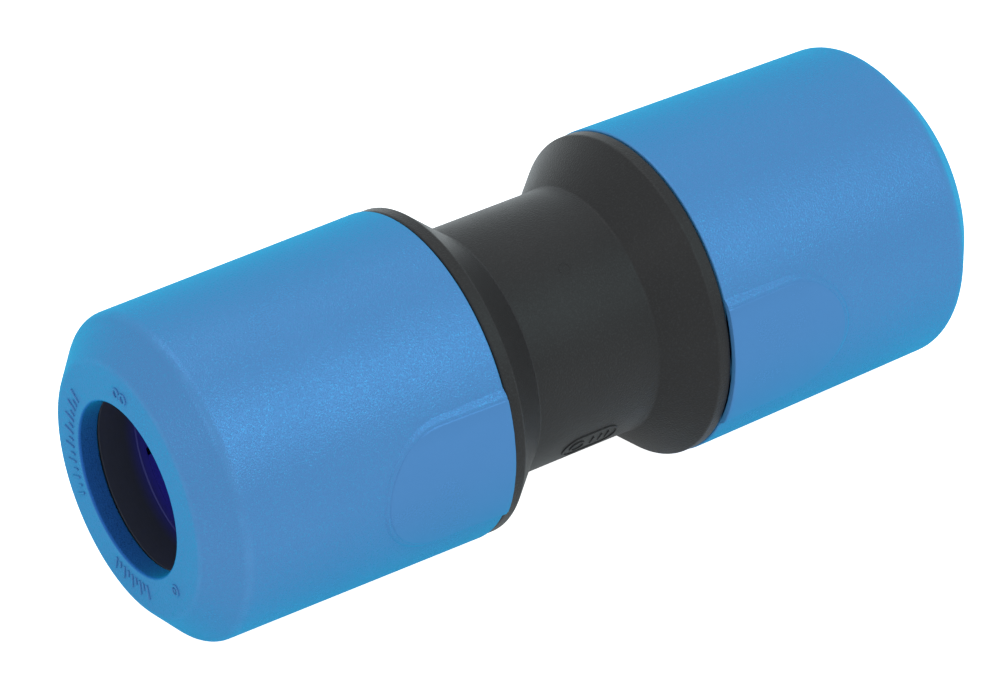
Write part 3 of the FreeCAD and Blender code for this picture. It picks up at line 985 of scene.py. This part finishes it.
def make_face_marks():
    tall = [complex(0, -0.95), complex(0, 0.95)]
    short = [complex(0, -0.95), complex(0, -0.1)]
    pip = [complex(0, -0.15), complex(0, 0.15)]
    marks = [
        face_mark("tall_dashes", tall, turn=32, count=8, step=-9.3),
        face_mark("short_dashes", short, turn=27.35, count=7, step=-9.3),
        face_mark("top_rings", circle(0.68), turn=84.8, closed=True, count=2, step=6.6),
        face_mark("size_dashes", tall, turn=253, count=5, step=8.0),
        face_mark("size_short_dashes", short, turn=257, count=4, step=8.0),
        face_mark("date_ring", circle(0.75), turn=218.5, closed=True),
        face_mark("date_pip", pip, turn=218.5),
    ]
    return joined("face_marks", marks)


face_marks = make_face_marks()
print("face marks:", len(face_marks.data.polygons), "faces")

# %% [markdown]
# ## End caps
#
# The cap is one moulding: a nearly straight skirt that tapers by half a millimetre, a well rounded shoulder,
# a cone down to the flat end face, and the mouth. Inside it has the bore for the body's spigot, the bayonet
# slots, the cone that squeezes the collet and the guide that the collet slides in.
#
# The outline runs anticlockwise: along the bore first, out over the end face, and back along the skirt.
# Extra corners with hardly any radius stand where the slots begin and end, so that rows of points lie there
# and the slots' walls come out steep. Three corners on one line would give no angle to round, so every
# second one is set in by a hair.

# %% End caps
WALL_REACH = 0.2
HAIR = 0.001


def make_end_cap():
    slot_start = lug_start - slot_play
    slot_end = lug_end + slot_play
    rows = outline([
        (rim_start, bore_radius, 0.20),
        (slot_start - WALL_REACH, bore_radius - HAIR, 0.05),
        (slot_start, bore_radius, 0.05),
        (slot_start + WALL_REACH, bore_radius - HAIR, 0.05),
        (slot_end - WALL_REACH, bore_radius, 0.05),
        (slot_end + WALL_REACH, bore_radius - HAIR, 0.05),
        (bore_end, bore_radius, 0.5),
        (bore_end, cone_radius, 0.25),
        (guide_start, guide_radius, 0.3),
        (mouth_start, guide_radius, 0.2),
        (mouth_start, mouth_radius, 0.25),
        (half_length, mouth_radius, 0.4),
        (half_length, face_radius, 1.6),
        (shoulder_start, shoulder_radius, 2.2),
        (rim_start, rim_radius, 0.28),
    ])
    cap = outline_piece("right_cap_moulding", rows)
    run_tree(cap, turned_shell, columns=192, slot_start=slot_start * MM, slot_end=slot_end * MM,
             slot_floor=(lug_radius + slot_play) * MM, slot_angle=slot_angle, entry_angle=entry_angle,
             entry_place=entry_place, fitted=thumb_pads, finish=blue_plastic)
    return settle(cap)


right_cap = joined("right_cap_moulding", [make_end_cap(), face_marks])
left_cap = turned_over(right_cap, "left_cap_moulding")
bpy.data.objects.remove(thumb_pads)
for piece, side in ((right_cap, "right"), (left_cap, "left")):
    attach(piece, f"{side}_cap")
    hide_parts(f"{side}_end_cap")

# %% [markdown]
# ## Body
#
# The body is a single black moulding too: barrel, two flares, two flanges, and the spigots that the caps
# slide over. Its outline is symmetrical, so only the right half is listed, and the left half is its mirror
# image read backwards. The bayonet lugs on the spigots are short turned blocks, repeated round each end.

# %% Body and bayonet lugs
LUG_ROOT = 0.3
SIGN_PLACE = -31.0


def arc_block(name, corners, angle, steps, place=0.0):
    """A block with the given outline, turned through an angle that is centred on a place."""
    rows = outline(corners)[:-1]
    sections = []
    for step in range(steps + 1):
        turn = place + angle * (step / steps - 0.5)
        sections.append([(along, -out * math.cos(turn), out * math.sin(turn)) for along, out, _ in rows])
    return skinned(name, sections)


def make_lugs(end):
    """Two lugs on one spigot. End is 1 on the right and -1 on the left."""
    root = spigot_radius - LUG_ROOT
    near, far = sorted((end * lug_start, end * lug_end))
    corners = [(near, root, 0.1), (far, root, 0.1), (far, lug_radius, 0.35), (near, lug_radius, 0.35)]
    lug = arc_block("lug", corners, lug_angle, 10, -end * lug_place)
    softened(lug, 0.25)
    run_tree(lug, repeat_round, count=2, first_angle=0.0, step_angle=math.pi, finish=black_plastic)
    return settle(lug)


def barrel_mark(name, path, along, turn, width, height, closed=False):
    """A mark on the barrel, centred at a place along it and at an angle from the -Y side towards +Z."""
    mark = moulded_line(name, path, width, height, closed)

    def rule(rise, across, up):
        angle = math.radians(turn) + up / barrel_radius
        radius = barrel_radius + rise
        return along + across, -radius * math.cos(angle), radius * math.sin(angle)

    return laid(mark, rule)


def make_barrel_marks():
    tick = [complex(0, -0.8), complex(0, 0.8)]
    sign = dict(turn=SIGN_PLACE, width=0.34, height=0.16)
    marks = [
        barrel_mark("pin_witness", circle(0.85), 0.3, turn=60.0, width=0.16, height=0.05, closed=True),
        barrel_mark("lozenge", lozenge(9.2, 4.6), 0.2, closed=True, **sign),
        barrel_mark("lozenge_ring", circle(1.1), -2.0, closed=True, **sign),
    ]
    marks += [barrel_mark("tick", tick, along, **sign) for along in (0.6, 2.0, 3.2)]
    return marks


def make_body():
    half = [
        (stop_end, stop_radius, 0.5),
        (stop_end, seat_radius, 0.4),
        (groove_start, seat_radius, 0.5),
        (groove_start, groove_radius, 0.3),
        (chamber_start, groove_radius, 0.3),
        (chamber_start, chamber_radius, 0.25),
        (spigot_end, chamber_radius, 0.4),
        (spigot_end, spigot_radius, 0.7),
        (flange_end, spigot_radius, 0.3),
        (flange_end, flange_radius, 0.45),
        (flange_start, flange_radius, 0.55),
        (barrel_end, barrel_radius, 0.7),
    ]
    mirrored = [(-along, out, radius) for along, out, radius in reversed(half)]
    body = outline_piece("body_moulding", outline(half + mirrored))
    run_tree(body, turned_shell, columns=192, finish=black_plastic)
    return settle(body)


body = joined("body_moulding", [make_body(), make_lugs(1), make_lugs(-1)] + make_barrel_marks())
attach(body, "coupler_body")
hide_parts("coupler_body")
print("body:", len(body.data.polygons), "faces")

# %% [markdown]
# ## Collets
#
# The collet is a ring with eight fingers whose heads wedge in the cap's cone. One finger is a short turned
# block, and the repeat tree sets eight of them round the axis and joins them to the ring. A shallow step
# runs round the bore just before the fingers, and centres the pipe before it meets the teeth.
#
# The teeth are already right in the frame: flat strips of steel. They stay, and only get their finish.

# %% Collets and teeth
STEP_SLOPE = 0.2
RING_OVERLAP = 0.3
INSIDE_RING = 0.02


def make_collet():
    ring = outline_piece("collet_ring", outline([
        (ring_start, step_bore, 0.1),
        (step_place - STEP_SLOPE, step_bore, 0.08),
        (step_place, collet_bore, 0.08),
        (collet_end, collet_bore, 0.2),
        (collet_end, collet_radius, 0.3),
        (neck_end, collet_radius, 0.2),
        (neck_end, finger_radius, 0.1),
        (ring_start, finger_radius, 0.1),
    ]))
    run_tree(ring, turned_shell, columns=128, finish=collet_plastic)
    settle(ring)
    corners = [
        (collet_start, step_bore, 0.25),
        (ring_start + RING_OVERLAP, step_bore + INSIDE_RING, 0.08),
        (ring_start + RING_OVERLAP, finger_radius - INSIDE_RING, 0.08),
        (head_end, head_radius, 0.4),
        (collet_start, head_radius, 0.4),
    ]
    pitch = 2 * math.pi / finger_count
    width = pitch - finger_gap / finger_radius
    finger = arc_block("finger", corners, width, 12)
    softened(finger, 0.12)
    run_tree(finger, repeat_round, count=finger_count, first_angle=0.0, step_angle=pitch, fitted=ring,
             finish=collet_plastic)
    settle(finger)
    bpy.data.objects.remove(ring)
    finger.name = "right_collet_fingers"
    return finger


right_collet = make_collet()
left_collet = turned_over(right_collet, "left_collet_fingers")
for piece, side in ((right_collet, "right"), (left_collet, "left")):
    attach(piece, f"{side}_collet")
    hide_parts(f"{side}_collet")
    for number in range(1, finger_count + 1):
        tooth = frame["nodes"][f"{side}_collet_tooth_{number}"]
        tooth.data.materials.clear()
        tooth.data.materials.append(tooth_steel)

# %% [markdown]
# ## Seals and spacer rings
#
# An O-ring is moulded in two halves, which leaves a hair of flash round its inside and its outside. The
# outline is a circle with that hair added by formula. The spacer ring is a plain washer with soft corners
# that keeps the O-ring in its groove.

# %% Seals and spacer rings
FLASH_HEIGHT = 0.04
FLASH_WIDTH = math.radians(4.0)
SEAL_STEPS = 72


def make_seal():
    section = (seal_end - seal_start) / 2
    middle = complex((seal_start + seal_end) / 2, seal_outer - section)
    rows = []
    for step in range(SEAL_STEPS + 1):
        turn = 2 * math.pi * step / SEAL_STEPS
        away = math.acos(min(1.0, abs(math.sin(turn))))
        flash = FLASH_HEIGHT * math.exp(-(away / FLASH_WIDTH) ** 2)
        point = middle + (section + flash) * cmath.exp(1j * turn)
        rows.append((point.real, point.imag, 0.0))
    seal = outline_piece("right_seal", rows)
    run_tree(seal, turned_shell, columns=160, finish=seal_rubber)
    return settle(seal)


def make_spacer():
    spacer = outline_piece("right_spacer", outline([
        (spacer_start, collet_bore, 0.3),
        (spacer_end, collet_bore, 0.3),
        (spacer_end, spacer_outer, 0.25),
        (spacer_start, spacer_outer, 0.25),
    ]))
    run_tree(spacer, turned_shell, columns=128, finish=spacer_plastic)
    return settle(spacer)


right_seal = make_seal()
right_spacer = make_spacer()
left_seal = turned_over(right_seal, "left_seal")
left_spacer = turned_over(right_spacer, "left_spacer")
for piece, node, slot in (
    (right_seal, "right_o_ring", "seal_rubber"),
    (left_seal, "left_o_ring", "seal_rubber"),
    (right_spacer, "right_spacer_ring", "spacer_plastic"),
    (left_spacer, "left_spacer_ring", "spacer_plastic"),
):
    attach(piece, "coupler_body")
    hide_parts(node)

# %% [markdown]
# ## Floor
#
# The coupler lies on a plain pale floor under an even white sky, which is how a catalogue lights a small
# part. The floor is a large sheet with a very fine mottling, so it has a finish of its own too. To the
# camera it gives off enough light to read as a clean white background. Towards the part it gives off much
# less, or its glow would bleach the underside of the caps: the Light Path node tells the two apart.

# %% Floor
GLOW_TO_CAMERA = 0.85
GLOW_TO_PART = 0.2
FLOOR_REACH = 3.0


def make_floor():
    material, tree, shader, place = new_material("pale_floor")
    mottle = add(tree, "ShaderNodeTexNoise", place, 35.0, 4.0, 0.6, 1.0).outputs["Fac"]
    tree.links.new(mixed(tree, mottle, (0.78, 0.78, 0.78, 1), (0.82, 0.82, 0.82, 1)),
                   shader.inputs["Base Color"])
    shader.inputs["Roughness"].default_value = 0.9
    shader.inputs["Specular IOR Level"].default_value = 0.1
    shader.inputs["Emission Color"].default_value = (1, 1, 1, 1)
    seen = add(tree, "ShaderNodeLightPath").outputs["Is Camera Ray"]
    glow = calc(tree, "ADD", calc(tree, "MULTIPLY", seen, GLOW_TO_CAMERA), GLOW_TO_PART)
    tree.links.new(glow, shader.inputs["Emission Strength"])
    mesh = bpy.data.meshes.new("floor")
    sides = ((-1, -1), (1, -1), (1, 1), (-1, 1))
    corners = [(x * FLOOR_REACH, y * FLOOR_REACH, cad_low[2]) for x, y in sides]
    mesh.from_pydata(corners, [], [(0, 1, 2, 3)])
    mesh.materials.append(material)
    return new_piece("floor", mesh)


make_floor()
print("floor at", round(cad_low[2] / MM, 2), "mm")

# %% [markdown]
# ## Light
#
# One light would leave half of a round part in the dark, so four soft boxes share the work. The key hangs
# high on the right of the near side and gives the satin skins their broad highlight. It is a little cool,
# because the blue shows more green and no more red where it is lit. The side and front boxes reach the left
# end face and the flares, and the top box lights the backs of the caps.

# %% Light
def soft_box(name, place, width, height, power, colour=(1, 1, 1)):
    """A rectangular light that faces the middle of the part."""
    light = bpy.data.lights.new(name, "AREA")
    light.shape = "RECTANGLE"
    light.size = width
    light.size_y = height
    light.energy = power
    light.color = colour
    box = bpy.data.objects.new(name, light)
    bpy.context.scene.collection.objects.link(box)
    box.location = place
    box.rotation_euler = (-Vector(place)).to_track_quat("-Z", "Y").to_euler()
    return box


world = bpy.data.worlds.new("even_sky")
world.use_nodes = True
sky = world.node_tree.nodes["Background"].inputs
sky["Color"].default_value = (0.87, 0.965, 1.0, 1)
sky["Strength"].default_value = 0.9
bpy.context.scene.world = world
soft_box("key", (0.30, -0.57, 0.68), 0.33, 0.75, 1.62, (0.62, 0.96, 1.0))
soft_box("side", (-0.81, -0.21, 0.56), 0.30, 0.30, 0.40)
soft_box("top", (0.05, 0.30, 0.90), 0.50, 0.50, 1.0)
soft_box("front", (-0.12, -0.86, 0.51), 0.12, 0.30, 0.25)
print("lights:", len(bpy.data.lights))

# %% [markdown]
# ## Camera
#
# The camera stands on the near side, to the left of the middle and well above it, and looks along a fairly
# long lens, so the far cap is only a little smaller than the near one.

# %% Camera
VIEW_TURN = math.radians(-34.76)
VIEW_RISE = math.radians(34.88)
VIEW_TARGET = Vector((-3.6, 0.8, -2.0)) * MM
VIEW_DISTANCE = 640.1 * MM

lens = bpy.data.cameras.new("camera")
lens.lens = 160.88
lens.sensor_width = 36.0
lens.clip_start = 0.01
camera = bpy.data.objects.new("camera", lens)
bpy.context.scene.collection.objects.link(camera)
back = Vector((math.sin(VIEW_TURN) * math.cos(VIEW_RISE), -math.cos(VIEW_TURN) * math.cos(VIEW_RISE),
               math.sin(VIEW_RISE)))
camera.location = VIEW_TARGET + back * VIEW_DISTANCE
camera.rotation_euler = (math.pi / 2 - VIEW_RISE, 0, VIEW_TURN)
bpy.context.scene.camera = camera
bpy.context.scene.view_settings.view_transform = "Standard"
print("camera at", [round(value, 3) for value in camera.location])
